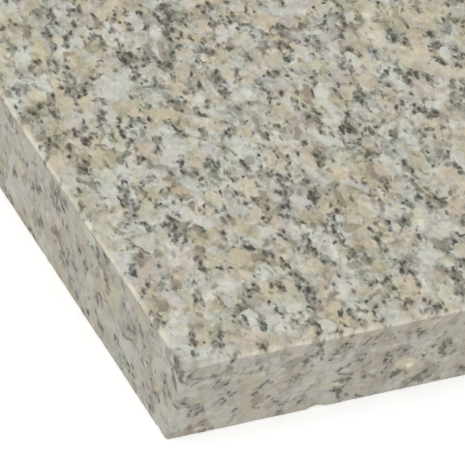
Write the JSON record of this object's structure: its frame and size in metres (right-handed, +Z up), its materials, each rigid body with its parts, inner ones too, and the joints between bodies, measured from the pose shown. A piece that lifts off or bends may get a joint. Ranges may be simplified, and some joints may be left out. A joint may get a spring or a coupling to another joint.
{
  "type": "granite slab",
  "caption": "Square granite slab with a polished, bevelled working face and sawn sides; a dead-flat, heavy base for tooling leather on a bench.",
  "frame": {"origin": "centre of the underside, on the surface that the slab rests on", "axes": "+Z up out of the polished working face; +X along the slab's length and +Y along its width, which are equal"},
  "size_m": [0.3, 0.3, 0.03],
  "materials": {
    "granite": "polished working face, sawn sides and underside"
  },
  "bodies": {
    "root": {"granite_slab": "granite"}
  },
  "joints": []
}
